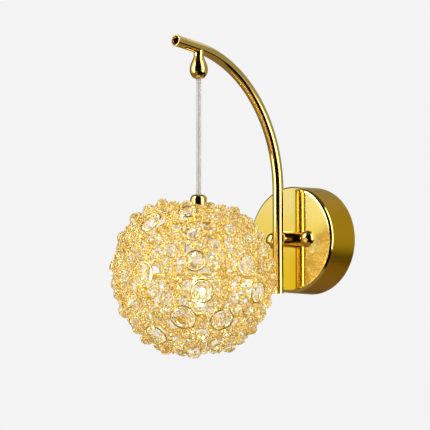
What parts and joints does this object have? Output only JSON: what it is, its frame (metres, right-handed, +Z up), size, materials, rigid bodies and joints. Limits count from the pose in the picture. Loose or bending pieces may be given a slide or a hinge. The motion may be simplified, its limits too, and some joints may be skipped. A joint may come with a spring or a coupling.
{
  "type": "crystal wall sconce",
  "caption": "Wall sconce: a round gilt canopy carries a bent arm, and a ball of strung clear crystals with a pin lamp inside hangs from it on a clear cord.",
  "frame": {"origin": "middle of the canopy's open back, in the plane of the wall, midway between the two wall screws", "axes": "+Z up, X along the wall, +Y into the wall, so the arm and the ball stand out along -Y"},
  "size_m": [0.1409, 0.2281, 0.2755],
  "materials": {
    "canopy_gilt": "side satin brushed, face polished",
    "polished_gilt": "polished, lacquered",
    "frame_gilt": "bright plated wire",
    "zinc_steel": "zinc plated",
    "crystal": "clear cut crystal",
    "bead": "clear beads",
    "clear_cord": "clear sheath over tinned cores",
    "core_insulation": "insulated cores",
    "earth_insulation": "green and yellow",
    "terminal_plastic": "moulded",
    "contact_brass": "plain",
    "ceramic_white": "fine matt",
    "anchor_plastic": "nylon",
    "lamp_plastic": "moulded",
    "lamp_glass": "clear",
    "led_board": "white board",
    "led_light": "warm light"
  },
  "bodies": {
    "fixture": {"canopy": "canopy_gilt", "wall_bracket": "zinc_steel", "bracket_studs": "zinc_steel", "stud_lock_nuts": "zinc_steel", "dome_nuts": "polished_gilt", "post": "polished_gilt", "arm_nipple": "zinc_steel", "nipple_washer": "zinc_steel", "nipple_nut": "zinc_steel", "arm_tube": "polished_gilt", "arm_foot_plug": "polished_gilt", "arm_end_bush": "polished_gilt", "gland_collar": "polished_gilt", "cord_gland": "polished_gilt", "arm_cord": "clear_cord", "cord_cores": "core_insulation", "terminal_block": "terminal_plastic", "terminal_sleeves": "contact_brass", "terminal_screws": "zinc_steel", "block_screw": "zinc_steel", "earth_tag": "contact_brass", "earth_lead": "earth_insulation", "earth_screw": "contact_brass"},
    "stop": {"cord_stop": "contact_brass"},
    "cord": {"pendant_cord": "clear_cord"},
    "ball": {"pendant_cap": "polished_gilt", "cord_anchor": "anchor_plastic", "pendant_nipple": "frame_gilt", "neck_spacer": "frame_gilt", "frame_hub": "frame_gilt", "hub_nut": "zinc_steel", "holder_nut": "zinc_steel", "pendant_leads": "core_insulation", "frame_rib_wires": "frame_gilt", "frame_hoop_wires": "frame_gilt", "mouth_ring": "frame_gilt", "lampholder_body": "ceramic_white", "holder_contacts": "contact_brass", "holder_stirrup": "zinc_steel", "holder_screws": "zinc_steel", "rosette_crystals": "crystal", "rosette_rings": "frame_gilt", "large_crystals": "crystal", "drilled_beads": "bead", "link_wires": "frame_gilt", "tie_wires": "frame_gilt", "small_beads": "bead"},
    "lamp": {"lamp_pins": "zinc_steel", "lamp_base": "lamp_plastic", "lamp_glass_envelope": "lamp_glass", "led_core": "led_board", "led_chips": "led_light"}
  },
  "joints": [
    {"name": "pendant_swing", "type": "hinge", "parent": "fixture", "child": "stop", "pos_m": [0, -0.155, 0.13694], "axis": [1, 0, 0], "range_deg": [-20, 7]},
    {"name": "pendant_sway", "type": "hinge", "parent": "stop", "child": "cord", "pos_m": [0, -0.155, 0.13694], "axis": [0, 1, 0], "range_deg": [-15, 15]},
    {"name": "pendant_twist", "type": "hinge", "parent": "cord", "child": "ball", "pos_m": [0, -0.155, 0.03354], "axis": [0, 0, 1], "range_deg": [-90, 90], "stiffness_Nm_per_rad": 0.004},
    {"name": "lamp_pull", "type": "slide", "parent": "ball", "child": "lamp", "axis": [0, 0, -1], "range_m": [0, 0.016]}
  ]
}
